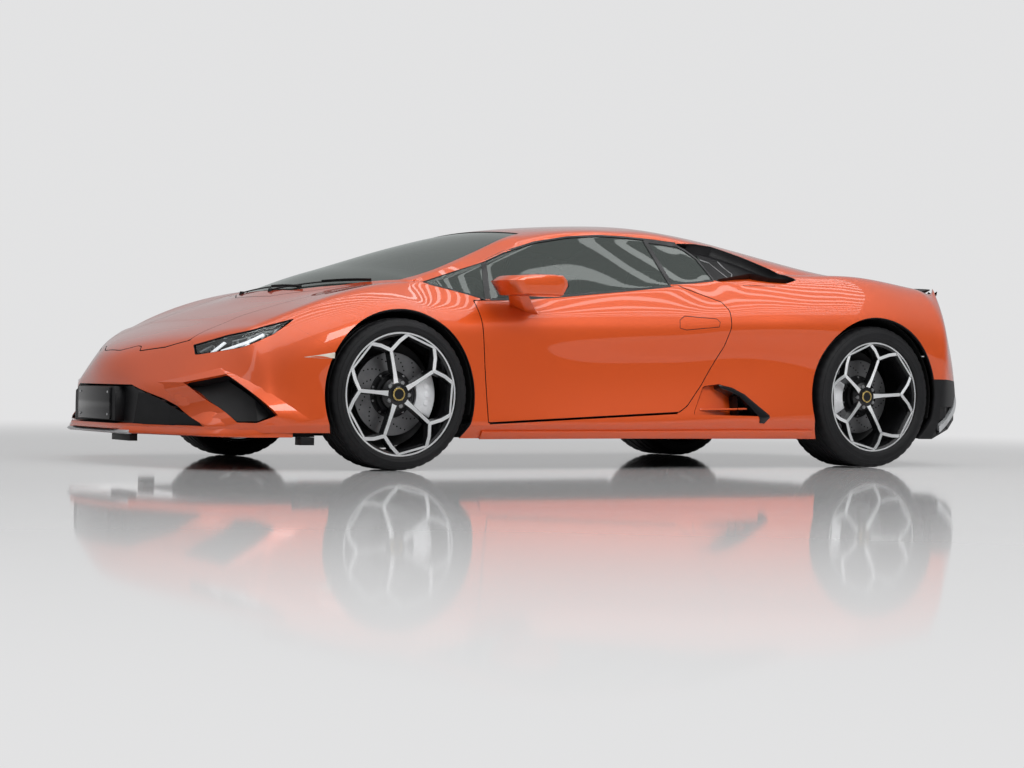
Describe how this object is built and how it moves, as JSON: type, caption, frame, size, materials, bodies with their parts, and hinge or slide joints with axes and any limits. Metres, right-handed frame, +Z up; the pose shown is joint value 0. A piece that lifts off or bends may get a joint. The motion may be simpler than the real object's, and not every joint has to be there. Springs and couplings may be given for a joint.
{
  "type": "mid-engined supercar",
  "caption": "Low wedge-shaped two-seat coupe with opening doors, bonnet and engine lid, steered front wheels and free-rolling alloy wheels.",
  "frame": {"origin": "on the ground under the middle of the car's length and width", "axes": "+Z up, nose towards -X, the car's left side towards -Y"},
  "size_m": [4.52, 2.224, 1.1627],
  "materials": {
    "paint": "orange pearl with a glossy clear coat",
    "floor_black": "matt black",
    "grey_trim": "satin grey",
    "grille_black": "satin black",
    "trim_black": "satin black",
    "glass": "grey-green tint",
    "lamp_clear": "clear lens",
    "lamp_red": "red lens",
    "steel": "machined",
    "iron": "cast",
    "alloy": "cast alloy",
    "caliper_silver": "silver lacquer",
    "leather": "black leather",
    "tyre": "tyre",
    "rim": "black alloy with machined faces"
  },
  "bodies": {
    "body": {"tub": "floor_black", "cabin_frame": "paint", "front_bumper": "paint", "splitter": "grey_trim", "front_grille": "grille_black", "intake_grilles": "grille_black", "plate_holder": "trim_black", "front_fenders": "paint", "headlamps": "lamp_clear", "windscreen": "glass", "quarter_glass": "glass", "rear_screen": "glass", "sills": "paint", "rear_quarters": "paint", "ear_intakes": "grille_black", "side_intakes": "grille_black", "rear_bumper": "paint", "rear_grille": "grille_black", "tail_lamps": "lamp_red", "diffuser": "grey_trim", "exhaust_tips": "steel", "arch_liners": "trim_black", "engine_block": "iron", "seats": "leather", "dashboard": "trim_black", "console": "trim_black", "steering_wheel": "leather", "wishbones": "steel", "rear_uprights": "alloy", "rear_calipers": "caliper_silver"},
    "bonnet": {"bonnet": "paint"},
    "engine_lid": {"engine_lid": "paint"},
    "door_l": {"door_l": "paint", "door_glass_l": "glass", "mirror_l": "paint"},
    "knuckle_fl": {"knuckle_fl": "alloy", "caliper_fl": "caliper_silver"},
    "wheel_fl": {"tyre_fl": "tyre", "rim_fl": "rim", "disc_fl": "steel"},
    "wheel_rl": {"tyre_rl": "tyre", "rim_rl": "rim", "disc_rl": "steel", "half_shaft_l": "steel"},
    "door_r": {"door_r": "paint", "door_glass_r": "glass", "mirror_r": "paint"},
    "knuckle_fr": {"knuckle_fr": "alloy", "caliper_fr": "caliper_silver"},
    "wheel_fr": {"tyre_fr": "tyre", "rim_fr": "rim", "disc_fr": "steel"},
    "wheel_rr": {"tyre_rr": "tyre", "rim_rr": "rim", "disc_rr": "steel", "half_shaft_r": "steel"}
  },
  "joints": [
    {"name": "bonnet_hinge", "type": "hinge", "parent": "body", "child": "bonnet", "pos_m": [-1.19, 0, 0.802], "axis": [0, 1, 0], "range_deg": [0, 50]},
    {"name": "engine_lid_hinge", "type": "hinge", "parent": "body", "child": "engine_lid", "pos_m": [0.64, 0, 1.118], "axis": [0, -1, 0], "range_deg": [0, 50]},
    {"name": "door_l_hinge", "type": "hinge", "parent": "body", "child": "door_l", "pos_m": [-0.85, -0.862, 0.5], "axis": [0, 0, -1], "range_deg": [0, 62]},
    {"name": "steer_l", "type": "hinge", "parent": "body", "child": "knuckle_fl", "pos_m": [-1.21, -0.802, 0.3275], "axis": [0, 0, 1], "range_deg": [-33, 33]},
    {"name": "wheel_fl_spin", "type": "hinge", "parent": "knuckle_fl", "child": "wheel_fl", "pos_m": [-1.21, -0.834, 0.3275], "axis": [0, 1, 0], "continuous": true},
    {"name": "wheel_rl_spin", "type": "hinge", "parent": "body", "child": "wheel_rl", "pos_m": [1.41, -0.81, 0.3455], "axis": [0, 1, 0], "continuous": true},
    {"name": "door_r_hinge", "type": "hinge", "parent": "body", "child": "door_r", "pos_m": [-0.85, 0.862, 0.5], "axis": [0, 0, 1], "range_deg": [0, 62]},
    {"name": "steer_r", "type": "hinge", "parent": "body", "child": "knuckle_fr", "pos_m": [-1.21, 0.802, 0.3275], "axis": [0, 0, 1], "range_deg": [-33, 33]},
    {"name": "wheel_fr_spin", "type": "hinge", "parent": "knuckle_fr", "child": "wheel_fr", "pos_m": [-1.21, 0.834, 0.3275], "axis": [0, 1, 0], "continuous": true},
    {"name": "wheel_rr_spin", "type": "hinge", "parent": "body", "child": "wheel_rr", "pos_m": [1.41, 0.81, 0.3455], "axis": [0, 1, 0], "continuous": true}
  ],
  "couplings": [
    {"joint": "steer_r", "follows": "steer_l", "ratio": 1}
  ]
}
